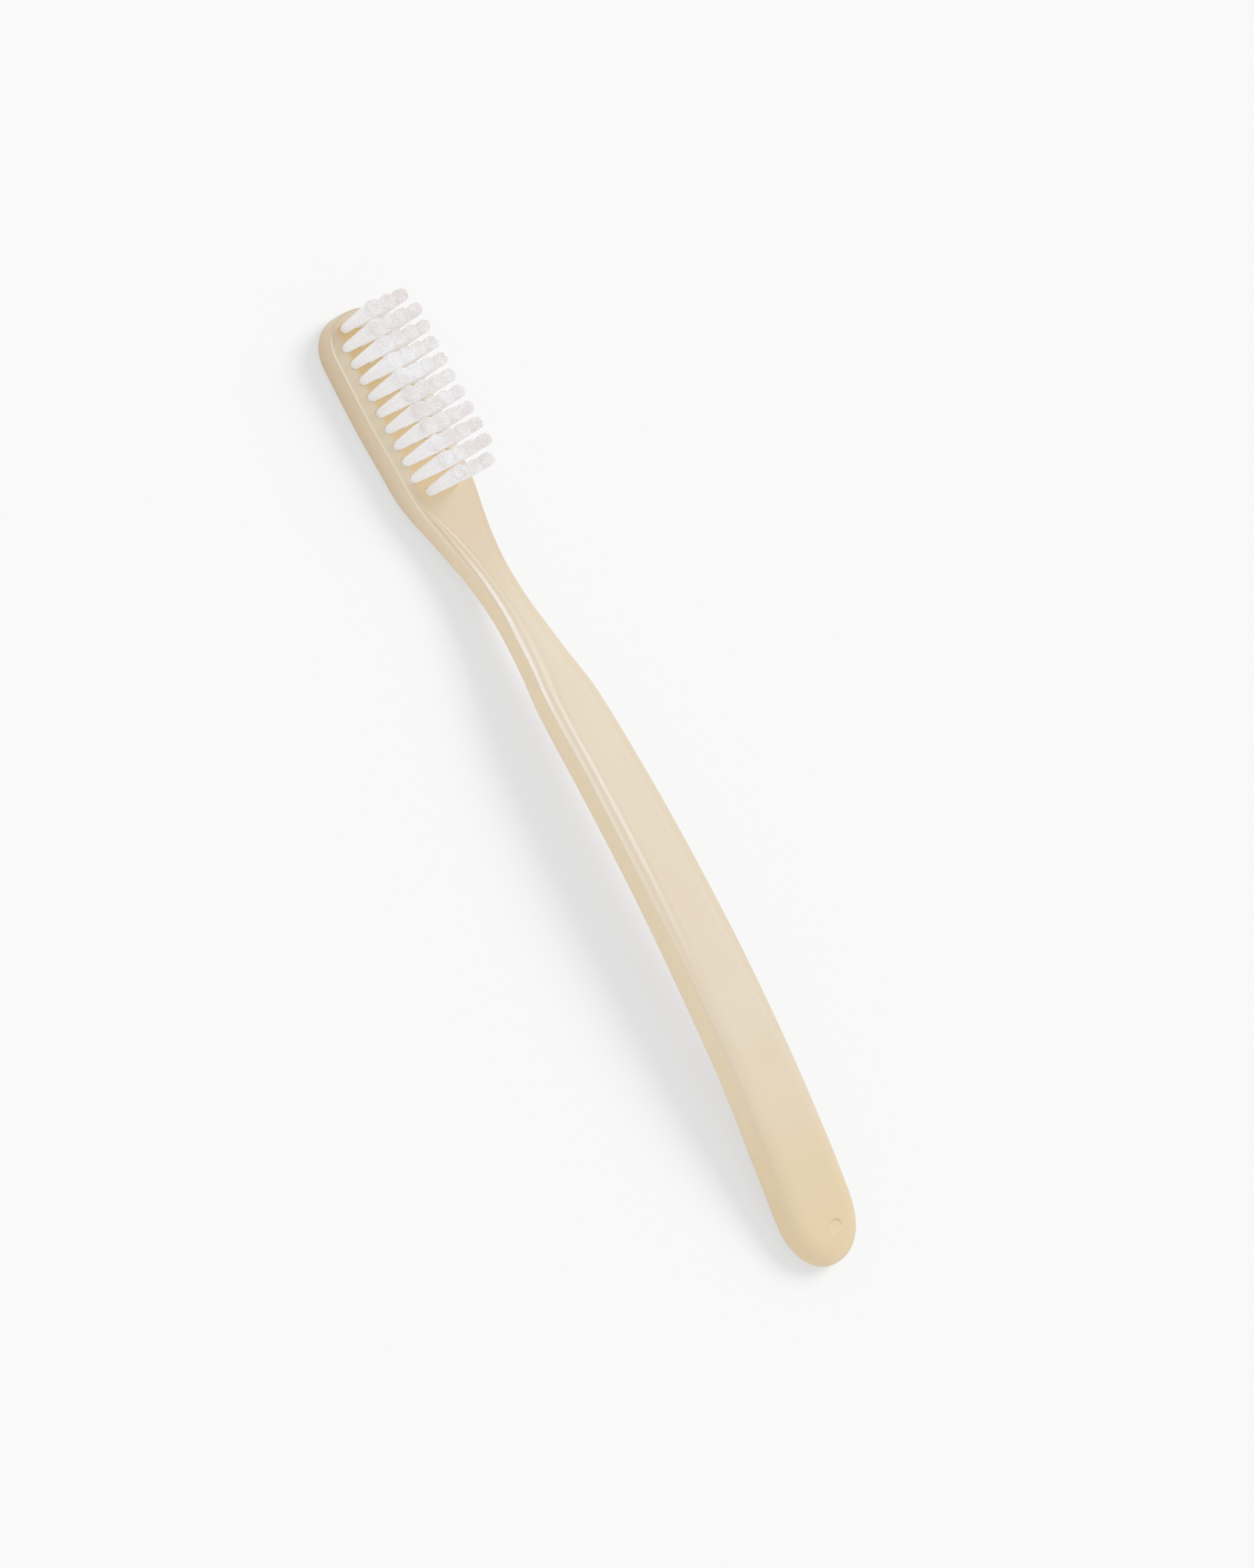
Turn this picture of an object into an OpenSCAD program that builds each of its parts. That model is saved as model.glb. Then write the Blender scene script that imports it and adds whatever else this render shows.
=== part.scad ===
// A manual toothbrush that lies on its back with its bristles up.
// Sizes are in millimetres. X runs toward the toe and Z is up. The back of the head rests at z = 0.

/* [Whole brush] */
// Length from the toe to the end of the handle
brush_l = 176; // [150:1:200]
// Height of the underside over the table, at the top of the handle's arch
arch_h = 5.3; // [2:0.1:10]

/* [Head] */
// Length of the head, from the toe to the start of the neck
head_l = 33; // [30:0.5:42]
// Widest part of the head
head_w = 15.1; // [14:0.1:18]
// Thickness of the head, from its back to its face
head_t = 5; // [4.2:0.1:7]
// Length of the rounded toe
toe_l = 7.5; // [5:0.1:10]

/* [Neck and grip] */
// Width of the neck where it is slimmest
neck_w = 6.9; // [5:0.1:9]
// Widest part of the grip
grip_w = 15.1; // [12:0.1:20]
// Thickness of the grip
grip_t = 6.6; // [5:0.1:9]
// Length of the rounded end of the handle
end_l = 10; // [7:0.1:14]
// Diameter of the round moulding mark near the end
mark_d = 3.2; // [2:0.1:4]
// Depth of the moulding mark
mark_depth = 0.15; // [0.1:0.05:0.4]

/* [Bristles] */
// Distance from the toe to the first column of tufts
toe_gap = 2.9; // [2.6:0.1:3.4]
// Distance between the columns of tufts, along the brush
column_pitch = 3; // [2.8:0.05:3.2]
// Distance between the rows of tufts, across the head
row_pitch = 3; // [2.6:0.05:3.2]
// Diameter of a tuft where it leaves the face
tuft_d = 1.6; // [1.2:0.05:1.9]
// Height of the bristles over the face
bristle_h = 11; // [8:0.5:14]
// Height over the face at which a tuft's strands part
bundle_h = 2.5; // [1.5:0.1:4]
// Room between the tips of neighbouring tufts
tip_gap = 0.5; // [0.3:0.05:0.8]
// Depth of the holes that the tufts stand in
hole_depth = 3.3; // [2.6:0.1:3.6]
// Room between a tuft and the wall of its hole
hole_gap = 0.05; // [0.03:0.01:0.1]

/* [Anchors] */
// Thickness of the metal plate that holds a tuft
anchor_t = 0.25; // [0.2:0.05:0.4]
// Height of the plate
anchor_h = 1.3; // [1:0.1:1.6]

/* [Hidden] */
column_count = 11;
row_count = 4;
end_row_count = 3;

// How far a cut runs past the surface
overrun = 1;

hole_d = tuft_d + 2 * hole_gap;
tip_d = min(column_pitch, row_pitch) - tip_gap;

tuft_places = [
    for (column = [0 : column_count - 1])
        let (is_end = column == 0 || column == column_count - 1)
        let (rows = is_end ? end_row_count : row_count)
        for (row = [0 : rows - 1])
            [toe_gap + column * column_pitch, (row - (rows - 1) / 2) * row_pitch]
];
tuft_names = [for (i = [1 : len(tuft_places)]) str("tuft_", i)];

// Stations along the brush: shares of the head's length, then of the length behind it
head_place_shares = [0.2, 0.55, 0.8, 0.96];
handle_place_shares = [
    0.015, 0.045, 0.08, 0.115, 0.165, 0.225, 0.285,
    0.385, 0.51, 0.63, 0.755, 0.875, 0.94, 1
];
places = along(head_place_shares, handle_place_shares);

// Half widths at the stations, as shares of the head's, the neck's and the grip's half width
head_width_shares = [0.99, 1, 0.955, 0.925, 0.87, 0.745];
neck_width_shares = [1.33, 1.08, 0.985, 1.18];
grip_width_shares = [0.7, 0.76, 0.81, 0.87, 0.915, 0.985, 1, 0.985];
half_widths = concat(
    head_width_shares * head_w / 2,
    neck_width_shares * neck_w / 2,
    grip_width_shares * grip_w / 2
);

// Thickness at the stations, as shares of the head's and the grip's
head_thickness_shares = [1, 1, 1, 1, 1, 1, 1.02, 1.04, 1.1];
grip_thickness_shares = [0.895, 0.94, 0.985, 1, 1, 1, 0.95, 0.86, 0.74];
thicknesses = concat(head_thickness_shares * head_t, grip_thickness_shares * grip_t);

// Height of the underside at the stations, as shares of the arch
arch_shares = [
    0, 0, 0, 0, 0.05, 0.14, 0.235, 0.36, 0.53,
    0.685, 0.8, 0.935, 1, 0.93, 0.69, 0.26, 0.03, 0
];
rises = arch_shares * arch_h;

// Stations of the cross-section, which changes more slowly than the outline
head_section_shares = [0, 0.9];
handle_section_shares = [0.015, 0.08, 0.165, 0.245, 0.29, 0.485, 0.925, 1];
section_places = along(head_section_shares, handle_section_shares);
// How far the flat top's edge and the shoulder's crease lie in from the rim, in half widths
flat_shares = [0.1, 0.14, 0.22, 0.65, 0.88, 0.88, 0.57, 0.535, 0.48, 0.41];
crease_shares = [0.05, 0.08, 0.12, 0.42, 0.48, 0.36, 0.32, 0.31, 0.2, 0.18];
// Heights of the shoulder's corner and of the rim, in thicknesses
shoulder_shares = [0.6, 0.65, 0.75, 0.8, 0.84, 0.86, 0.86, 0.86, 0.86, 0.84];
rim_shares = [0.28, 0.28, 0.33, 0.4, 0.45, 0.46, 0.46, 0.46, 0.42, 0.4];
// How far the rounding under the rim runs in, in half widths
under_shares = [0.2, 0.22, 0.3, 0.55, 0.8, 0.75, 0.75, 0.75, 0.7, 0.6];

// Powers of the rounded outlines of the toe and of the handle's end, where 2 is an ellipse
toe_power = 2.2;
end_power = 2.1;

// Ribs of the surface: in each rounded end, along the head, along the neck and along the grip
end_ribs = 8;
head_ribs = 6;
neck_ribs = 14;
grip_ribs = 24;
neck_end_share = 0.27;
// Levels of the surface: over the edge of the flat top, down the side and under the rim
edge_levels = 3;
side_levels = 4;
under_levels = 4;

// A tuft is a bundle of many sides, from which an inner and an outer ring of strands part
bundle_sides = 8;
inner_count = 3;
outer_count = 8;
strand_r = 0.14 * tuft_d;
// How far down the strands run into the bundle that they part from
strand_root = 0.3 * bundle_h;
bundle_d = tuft_d + (tip_d - tuft_d) * bundle_h / bristle_h;
inner_root_r = 0.17 * tuft_d;
inner_tip_r = 0.19 * tip_d;
outer_root_r = 0.375 * tuft_d;
outer_tip_r = tip_d / 2 - strand_r;

// The plate lies across its tuft, over the bottom of the hole, with room all round it
anchor_w = 0.9 * tuft_d;
anchor_floor = 0.3;
anchor_gap = 0.05;

handle_color = [0.9, 0.84, 0.72];
bristle_color = [0.94, 0.93, 0.93];
anchor_color = [0.78, 0.66, 0.4];

// Distances from the toe for shares of the head's length and of the length behind it
function along(head_shares, handle_shares) = concat(
    head_shares * head_l,
    [for (share = handle_shares) head_l + share * (brush_l - head_l)]
);

// The last station at or before a place
function station_before(list, place, i = 0) =
    (i >= len(list) - 2 || place < list[i + 1]) ? i : station_before(list, place, i + 1);

// Slope of the values at a station, taken across its neighbours
function slope(list, values, i) =
    let (before = max(i - 1, 0), after = min(i + 1, len(list) - 1))
    (values[after] - values[before]) / (list[after] - list[before]);

// A smooth curve through the values at the stations
function smooth_at(list, values, wanted) =
    let (place = min(max(wanted, list[0]), list[len(list) - 1]))
    let (i = station_before(list, place))
    let (gap = list[i + 1] - list[i])
    let (q = (place - list[i]) / gap)
    values[i] * (2 * q ^ 3 - 3 * q ^ 2 + 1)
    + values[i + 1] * (3 * q ^ 2 - 2 * q ^ 3)
    + slope(list, values, i) * gap * (q ^ 3 - 2 * q ^ 2 + q)
    + slope(list, values, i + 1) * gap * (q ^ 3 - q ^ 2);

function half_width(place) = smooth_at(places, half_widths, place);
function thickness(place) = smooth_at(places, thicknesses, place);
function rise(place) = smooth_at(places, rises, place);
function section_share(shares, place) = smooth_at(section_places, shares, place);

// A rib is [place it starts from, its direction along and across, its length to the rim]
function side_rib(place) = [place, 0, 1, half_width(place)];
function fan_rib(start, reach, power, angle) =
    let (along_rim = reach * cos(angle) ^ (2 / power))
    let (across_rim = half_width(start) * sin(angle) ^ (2 / power))
    let (rib_l = norm([along_rim, across_rim]))
    [start, along_rim / rib_l, across_rim / rib_l, rib_l];

function spread(from, to, count) = [for (i = [0 : count - 1]) from + (to - from) * i / count];
neck_end = head_l + neck_end_share * (brush_l - head_l);
ribs = concat(
    [for (angle = spread(0, 90, end_ribs)) fan_rib(toe_l, -toe_l, toe_power, angle)],
    [for (place = spread(toe_l, head_l, head_ribs)) side_rib(place)],
    [for (place = spread(head_l, neck_end, neck_ribs)) side_rib(place)],
    [for (place = spread(neck_end, brush_l - end_l, grip_ribs)) side_rib(place)],
    [for (angle = spread(90, 0, end_ribs)) fan_rib(brush_l - end_l, end_l, end_power, angle)],
    [fan_rib(brush_l - end_l, end_l, end_power, 0)]
);

// A point of a curve that leaves one point for another past a corner
function bend(from, corner, to, q) = (1 - q) ^ 2 * from + 2 * q * (1 - q) * corner + q ^ 2 * to;

// The section at a rib: [distance in from the rim, height in thicknesses] for each level
function section(rib) =
    let (rim_place = rib[0] + rib[1] * rib[3])
    let (reach = half_width(rim_place), depth = thickness(rim_place))
    let (crease_in = section_share(crease_shares, rim_place) * reach)
    let (flat_in = section_share(flat_shares, rim_place) * reach)
    let (under_in = section_share(under_shares, rim_place) * reach)
    let (corner = [0, section_share(shoulder_shares, rim_place)])
    let (rim = [0, section_share(rim_shares, rim_place)])
    let (crease = [crease_in, 1])
    let (side_l = norm([crease_in, (1 - corner[1]) * depth]))
    let (edge = crease + (corner - crease) * min(0.9, (flat_in - crease_in) / side_l))
    concat(
        [for (i = [0 : edge_levels - 1]) bend([flat_in, 1], crease, edge, i / edge_levels)],
        [for (i = [0 : side_levels - 1]) bend(edge, corner, rim, i / side_levels)],
        [
            for (i = [0 : under_levels])
                let (angle = 90 * i / under_levels)
                [under_in * (1 - cos(angle)), rim[1] * (1 - sin(angle))]
        ]
    );

function surface_point(rib, level, side) =
    let (reach = rib[3] - level[0])
    let (place = rib[0] + rib[1] * reach)
    [brush_l / 2 - place, side * rib[2] * reach, rise(place) + level[1] * thickness(place)];

// The body of the handle: one loop of points for each level, from the flat top to the underside
module body() {
    sections = [for (rib = ribs) section(rib)];
    last = len(ribs) - 1;
    loop = 2 * last;
    level_count = len(sections[0]);
    points = [
        for (level = [0 : level_count - 1])
            for (i = [0 : loop - 1])
                let (k = i <= last ? i : loop - i)
                surface_point(ribs[k], sections[k][level], i <= last ? 1 : -1)
    ];
    sides = [
        for (level = [0 : level_count - 2])
            for (i = [0 : loop - 1])
                let (a = level * loop + i, b = level * loop + (i + 1) % loop)
                each [[a, b, b + loop], [a, b + loop, a + loop]]
    ];
    base = (level_count - 1) * loop;
    caps = [
        for (i = [0 : last - 1])
            let (a = i, b = i + 1, c = loop - i - 1, d = (loop - i) % loop)
            each concat(
                i < last - 1 ? [[a, c, b], [base + a, base + b, base + c]] : [],
                i > 0 ? [[a, d, c], [base + a, base + c, base + d]] : []
            )
    ];
    polyhedron(points, concat(sides, caps), convexity = 4);
}

module at_tuft(place) {
    translate([brush_l / 2 - place[0], place[1], head_t]) children();
}

module handle() {
    color(handle_color)
        difference() {
            body();
            for (place = tuft_places)
                at_tuft(place)
                    translate([0, 0, -hole_depth]) cylinder(d = hole_d, h = hole_depth + overrun, $fn = 24);
            moulding_mark();
        }
}

module moulding_mark() {
    place = brush_l - end_l / 2;
    top = rise(place) + thickness(place);
    translate([brush_l / 2 - place, 0, top - mark_depth])
        cylinder(d = mark_d, h = mark_depth + overrun, $fn = 32);
}

// One strand, from its place in the root ring to its place in the tip ring
module strand(root_r, tip_r, turn) {
    root_z = bundle_h - strand_root;
    lean = atan((tip_r - root_r) / (bristle_h - root_z));
    translate([root_r, 0, root_z])
        rotate([0, lean, 0])
            rotate(turn)
                cylinder(r = strand_r, h = (bristle_h - root_z) / cos(lean), $fn = 3);
}

module tuft(place) {
    color(bristle_color)
        at_tuft(place)
            difference() {
                union() {
                    translate([0, 0, -hole_depth + hole_gap])
                        cylinder(d = tuft_d, h = hole_depth - hole_gap, $fn = bundle_sides);
                    cylinder(d1 = tuft_d, d2 = bundle_d, h = bundle_h, $fn = bundle_sides);
                    for (i = [0 : outer_count - 1])
                        rotate(i * 360 / outer_count) strand(outer_root_r, outer_tip_r, 0);
                    for (i = [0 : inner_count - 1])
                        rotate(i * 360 / inner_count) strand(inner_root_r, inner_tip_r, 180);
                }
                anchor_plate(anchor_gap);
            }
}

// The plate that a tuft's strands fold round, at the bottom of its hole
module anchor_plate(gap = 0) {
    plate = [anchor_t + 2 * gap, gap > 0 ? 2 * tuft_d : anchor_w, anchor_h + 2 * gap];
    translate([-plate[0] / 2, -plate[1] / 2, -hole_depth + anchor_floor - gap]) cube(plate);
}

module anchors() {
    color(anchor_color)
        for (place = tuft_places)
            at_tuft(place) anchor_plate();
}

handle();
anchors();
for (i = [0 : len(tuft_places) - 1])
    tuft(tuft_places[i]);
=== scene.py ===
"""A manual toothbrush with an ivory plastic handle and white nylon tufts, in a plain studio.

Lengths are in metres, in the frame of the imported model. X runs toward the toe, Y is across the
brush and Z is up. The back of the head rests at z = 0. A place along the brush is a distance from
the toe.
"""

import logging
import math
from dataclasses import dataclass
from enum import Enum

import bpy
import numpy as np
from mathutils import Matrix


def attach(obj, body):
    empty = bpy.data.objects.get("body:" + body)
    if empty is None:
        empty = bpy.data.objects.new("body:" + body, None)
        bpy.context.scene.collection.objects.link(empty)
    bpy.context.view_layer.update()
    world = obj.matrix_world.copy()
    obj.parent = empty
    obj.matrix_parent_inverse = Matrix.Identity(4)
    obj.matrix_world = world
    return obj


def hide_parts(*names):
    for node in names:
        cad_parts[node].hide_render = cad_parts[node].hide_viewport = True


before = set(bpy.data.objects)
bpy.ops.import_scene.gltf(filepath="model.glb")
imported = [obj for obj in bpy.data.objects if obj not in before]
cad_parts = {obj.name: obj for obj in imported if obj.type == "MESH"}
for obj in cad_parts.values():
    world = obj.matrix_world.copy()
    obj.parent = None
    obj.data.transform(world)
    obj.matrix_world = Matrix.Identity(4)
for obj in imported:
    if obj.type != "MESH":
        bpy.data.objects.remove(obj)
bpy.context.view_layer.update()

MM = 0.001
BODY = "root"
# X and Y of the moulding mark's centre
MARK = (-82.5 * MM, -0.7 * MM)
log = logging.getLogger("toothbrush")

Array = np.ndarray
Piece = bpy.types.Object
Material = bpy.types.Material
Socket = bpy.types.NodeSocket
Node = bpy.types.Node
Tree = bpy.types.NodeTree
Color = tuple[float, float, float]
# Where a change starts, and where it is full
Span = tuple[float, float]


class Slot(Enum):
    """Material slots of the record."""

    HANDLE = "handle"
    BRISTLE = "bristle"
    ANCHOR = "anchor"


class Side(Enum):
    """Which way a cap of the body faces."""

    TOP = 1
    UNDER = -1


# Surfaces from arrays


def table_of(*columns: object) -> Array:
    """A table with a column for each array or number given."""
    return np.stack(np.broadcast_arrays(*columns), axis=-1)


def smooth_through(stations: Array, values: Array, places: Array) -> Array:
    """A smooth curve through values at stations.

    Between two stations it is a cubic whose slope at each station is the slope of the straight
    line between that station's neighbours.

    Args:
        stations: places of the values, rising.
        values: the values there.
        places: where the curve is wanted, held to the range of the stations.

    Returns:
        The curve's values, in the shape of places.
    """
    held = np.clip(places, stations[0], stations[-1])
    last = len(stations) - 1
    number = np.arange(last + 1)
    before, after = np.maximum(number - 1, 0), np.minimum(number + 1, last)
    slopes = (values[after] - values[before]) / (stations[after] - stations[before])
    i = np.clip(np.searchsorted(stations, held, side="right") - 1, 0, last - 1)
    gap = stations[i + 1] - stations[i]
    q = (held - stations[i]) / gap
    return (
        values[i] * (2 * q**3 - 3 * q**2 + 1)
        + values[i + 1] * (3 * q**2 - 2 * q**3)
        + slopes[i] * gap * (q**3 - 2 * q**2 + q)
        + slopes[i + 1] * gap * (q**3 - q**2)
    )


def bend(start: Array, corner: Array, end: Array, q: Array) -> Array:
    """A quadratic curve that leaves start for end past a corner.

    The point at q is (1 - q) squared times start, plus 2 q (1 - q) times corner, plus q squared
    times end.

    Args:
        start: first points, one row for each rib.
        corner: corner points.
        end: last points.
        q: how far along, from 0 to 1, one column for each level.

    Returns:
        Points with one row for each rib and one column for each level.
    """
    start, corner, end, q = start[:, None], corner[:, None], end[:, None], q[:, None]
    return (1 - q) ** 2 * start + 2 * q * (1 - q) * corner + q**2 * end


def grid_quads(rows: int, columns: int, closed: bool = False) -> Array:
    """Quads of a grid of points numbered row by row.

    Args:
        rows: number of rows.
        columns: number of points in a row.
        closed: whether the last column joins the first.

    Returns:
        Four point numbers for each quad.
    """
    row = np.arange(rows - 1)[:, None] * columns
    column = np.arange(columns if closed else columns - 1)
    beside = (column + 1) % columns
    corners = [row + column, row + beside, row + columns + beside, row + columns + column]
    return table_of(*corners).reshape(-1, 4)


def add_object(name: str, data: bpy.types.ID) -> Piece:
    """Makes an object of its data and links it to the scene."""
    made = bpy.data.objects.new(name, data)
    bpy.context.scene.collection.objects.link(made)
    return made


def make_object(name: str, points: Array, faces: list[Array]) -> Piece:
    """Makes a smooth mesh object from arrays and links it to the scene.

    Args:
        name: the object's name.
        points: one row of x, y and z for each vertex.
        faces: arrays of vertex numbers, each with faces of one number of corners.

    Returns:
        The new object, at the origin.
    """
    mesh = bpy.data.meshes.new(name)
    totals = np.concatenate([np.full(len(f), f.shape[1]) for f in faces])
    loops = np.concatenate([f.ravel() for f in faces])
    mesh.vertices.add(len(points))
    mesh.vertices.foreach_set("co", points.astype(np.float32).ravel())
    mesh.loops.add(len(loops))
    mesh.loops.foreach_set("vertex_index", loops.astype(np.int32))
    mesh.polygons.add(len(totals))
    starts = np.cumsum(totals) - totals
    mesh.polygons.foreach_set("loop_start", starts.astype(np.int32))
    mesh.polygons.foreach_set("use_smooth", np.ones(len(totals), bool))
    mesh.update(calc_edges=True)
    mesh.validate()
    return add_object(name, mesh)


def level_ring(sides: int) -> Array:
    """Corners of a level polygon of radius 1, as rows of x, y and 0."""
    turn = np.arange(sides) * 2 * np.pi / sides
    return table_of(np.cos(turn), np.sin(turn), 0.0)


def tube_faces(count: int, rings: int, sides: int) -> list[Array]:
    """Faces of closed tubes, whose points are numbered tube by tube and ring by ring.

    Args:
        count: number of tubes.
        rings: number of rings in a tube.
        sides: number of points in a ring.

    Returns:
        The walls, the lower ends and the upper ends.
    """
    size = rings * sides
    starts = (np.arange(count) * size)[:, None]
    walls = (grid_quads(rings, sides, closed=True)[None] + starts[:, None]).reshape(-1, 4)
    lower = starts + np.arange(sides)[::-1]
    upper = starts + size - sides + np.arange(sides)
    return [walls, lower, upper]


def lathe(profile: Array, centres: Array, sides: int) -> tuple[Array, list[Array]]:
    """Closed turned solids, one round each centre.

    A point of a solid is its centre plus the profile's radius times (cos, sin) of the turn, at
    the profile's height. Both ends are closed by flat faces.

    Args:
        profile: rows of radius and height, from the lower end to the upper one.
        centres: rows of x, y and z.
        sides: number of sides of each solid.

    Returns:
        The points, and the faces as arrays of point numbers.
    """
    shape = profile[:, None, :1] * level_ring(sides) + profile[:, None, 1:] * [0, 0, 1]
    points = (centres[:, None, None] + shape).reshape(-1, 3)
    return points, tube_faces(len(centres), len(profile), sides)


# Shader nodes


class Nodes:
    """A node tree that is being filled, for a material, a world or a group."""

    def __init__(self, tree: Tree) -> None:
        """Starts with an emptied tree."""
        self.tree = tree
        tree.nodes.clear()

    def add(self, kind: str, inputs: dict | None = None, **settings: object) -> Node:
        """Adds a node.

        Args:
            kind: the node's type.
            inputs: sockets by name or number, each with a value or the socket that feeds it.
            **settings: the node's own settings.

        Returns:
            The new node.
        """
        node = self.tree.nodes.new(kind)
        for name, value in settings.items():
            setattr(node, name, value)
        for key, value in (inputs or {}).items():
            self.feed(node.inputs[key], value)
        return node

    def feed(self, socket: Socket, value: object) -> None:
        """Sets a socket, or links it to the socket that feeds it.

        Args:
            socket: the input socket.
            value: a plain value or an output socket.
        """
        if isinstance(value, Socket):
            self.tree.links.new(value, socket)
        else:
            socket.default_value = value

    def math(self, operation: str, *values: object) -> Socket:
        """Adds a Math node with its inputs in order, and returns its result."""
        return self.add("ShaderNodeMath", dict(enumerate(values)), operation=operation).outputs[0]

    def noise(self, place: object, scale: object, detail: float) -> Socket:
        """Adds a noise and returns its value."""
        inputs = {"Vector": place, "Scale": scale, "Detail": detail}
        return self.add("ShaderNodeTexNoise", inputs).outputs[0]

    def product(self, *factors: object) -> Socket:
        """Multiplies values with each other."""
        result, *others = factors
        for factor in others:
            result = self.math("MULTIPLY", result, factor)
        return result

    def step(self, value: object, span: Span, base: float = 0.0) -> Socket:
        """A soft step: 0 where value is at the span's start, 1 where it is at its end.

        Args:
            value: the value's socket.
            span: start and end of the step, of which either may be the higher.
            base: what both are counted from.

        Returns:
            The step's socket, from 0 to 1.
        """
        falls = span[0] > span[1]
        inputs = {"Value": value, "From Min": base + min(span), "From Max": base + max(span)}
        inputs |= {"To Min": float(falls), "To Max": float(not falls)}
        return self.add("ShaderNodeMapRange", inputs, interpolation_type="SMOOTHSTEP").outputs[0]

    def mix(self, share: object, first: object, second: object) -> Socket:
        """Mixes two colours, each a plain one or a socket, by the second one's share."""
        # Inputs 6 and 7 of this node take colours, and output 2 gives one
        inputs = {"Factor": share, 6: rgba(first), 7: rgba(second)}
        return self.add("ShaderNodeMix", inputs, data_type="RGBA").outputs[2]


def rgba(color: object) -> object:
    """Gives a plain colour its fourth number, and leaves a socket as it is."""
    return (*color, 1.0) if isinstance(color, tuple) else color


def new_group(name: str, inputs: list[str], outputs: list[str]) -> tuple[Nodes, Node, Node]:
    """Makes an empty node group that puts out values.

    Args:
        name: the group's name.
        inputs: names of its value inputs. It also has a Vector input.
        outputs: names of its value outputs.

    Returns:
        The group's nodes, and its input and output nodes.
    """
    tree = bpy.data.node_groups.new(name, "ShaderNodeTree")
    tree.interface.new_socket("Vector", in_out="INPUT", socket_type="NodeSocketVector")
    for in_out, keys in (("INPUT", inputs), ("OUTPUT", outputs)):
        for key in keys:
            tree.interface.new_socket(key, in_out=in_out, socket_type="NodeSocketFloat")
    nodes = Nodes(tree)
    return nodes, nodes.add("NodeGroupInput"), nodes.add("NodeGroupOutput")


def tone_group() -> Tree:
    """Slow drift of a colour over a piece, with faint streaks.

    The mask is 0.6 of a soft noise plus 0.4 of a noise five times as fine, whose X is multiplied by
    Stretch. It is 0 where the sum is 0.35 and 1 where it is 0.65.

    Returns:
        The group, with inputs Vector, Scale and Stretch and the output Mask.
    """
    nodes, given, wanted = new_group("tone", ["Scale", "Stretch"], ["Mask"])
    place, scale, stretch = given.outputs[:3]
    soft = nodes.noise(place, scale, 2.0)
    drawn = nodes.add("ShaderNodeCombineXYZ", {0: stretch, 1: 1.0, 2: 1.0}).outputs[0]
    drawn = nodes.add("ShaderNodeVectorMath", {0: place, 1: drawn}, operation="MULTIPLY").outputs[0]
    streaks = nodes.noise(drawn, nodes.product(scale, 5.0), 3.0)
    both = nodes.math("MULTIPLY_ADD", streaks, 0.4, nodes.product(soft, 0.6))
    nodes.feed(wanted.inputs["Mask"], nodes.step(both, (0.35, 0.65)))
    return nodes.tree


def grain_group() -> Tree:
    """Fine unevenness of a surface.

    Height is a noise of fine detail, and Gloss is the same noise at a quarter of the scale.

    Returns:
        The group, with inputs Vector and Scale and outputs Height and Gloss.
    """
    nodes, given, wanted = new_group("grain", ["Scale"], ["Height", "Gloss"])
    place, scale = given.outputs[:2]
    nodes.feed(wanted.inputs["Height"], nodes.noise(place, scale, 4.0))
    nodes.feed(wanted.inputs["Gloss"], nodes.noise(place, nodes.product(scale, 0.25), 2.0))
    return nodes.tree


@dataclass(frozen=True)
class Drift:
    """Scale and stretch of the drift of a finish's colour."""

    scale: float
    stretch: float


@dataclass(frozen=True)
class Grain:
    """Fine unevenness: its scale, the range of roughness, and the bump's strength and depth."""

    scale: float
    gloss: float
    strength: float
    depth: float


def new_material(name: str) -> tuple[Material, Nodes, Socket]:
    """Starts a material.

    Args:
        name: the material's name.

    Returns:
        The material, its nodes and its Object coordinates.
    """
    material = bpy.data.materials.new(name)
    material.use_nodes = True
    nodes = Nodes(material.node_tree)
    return material, nodes, nodes.add("ShaderNodeTexCoord").outputs["Object"]


def end_material(nodes: Nodes, inputs: dict) -> None:
    """Adds the shader, with a value or a feeding socket for each input, and the output."""
    shader = nodes.add("ShaderNodeBsdfPrincipled", inputs)
    nodes.add("ShaderNodeOutputMaterial", {"Surface": shader.outputs[0]})


@dataclass(frozen=True)
class Effects:
    """Node groups that the materials share."""

    tone: Tree
    grain: Tree

    def mask(self, nodes: Nodes, place: Socket, drift: Drift) -> Socket:
        """Places the tone group and returns its mask."""
        inputs = {"Vector": place, "Scale": drift.scale, "Stretch": drift.stretch}
        return nodes.add("ShaderNodeGroup", inputs, node_tree=self.tone).outputs["Mask"]

    def finish(
        self, nodes: Nodes, place: Socket, tone: Socket, look: "Finish", **plain: float
    ) -> None:
        """Ends a material with its grain, its shader and its output.

        Args:
            nodes: the material's nodes.
            place: its Object coordinates.
            tone: its colour.
            look: its roughness and grain.
            **plain: plain values of the shader's other sockets.
        """
        grain = look.grain
        inputs = {"Vector": place, "Scale": grain.scale}
        height, gloss = nodes.add("ShaderNodeGroup", inputs, node_tree=self.grain).outputs
        inputs = {"Height": height, "Strength": grain.strength, "Distance": grain.depth}
        bump = nodes.add("ShaderNodeBump", inputs).outputs[0]
        rough = nodes.math("MULTIPLY_ADD", gloss, grain.gloss, look.roughness - grain.gloss / 2)
        end_material(nodes, {"Base Color": tone, "Roughness": rough, "Normal": bump} | plain)


# Finishes


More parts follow.
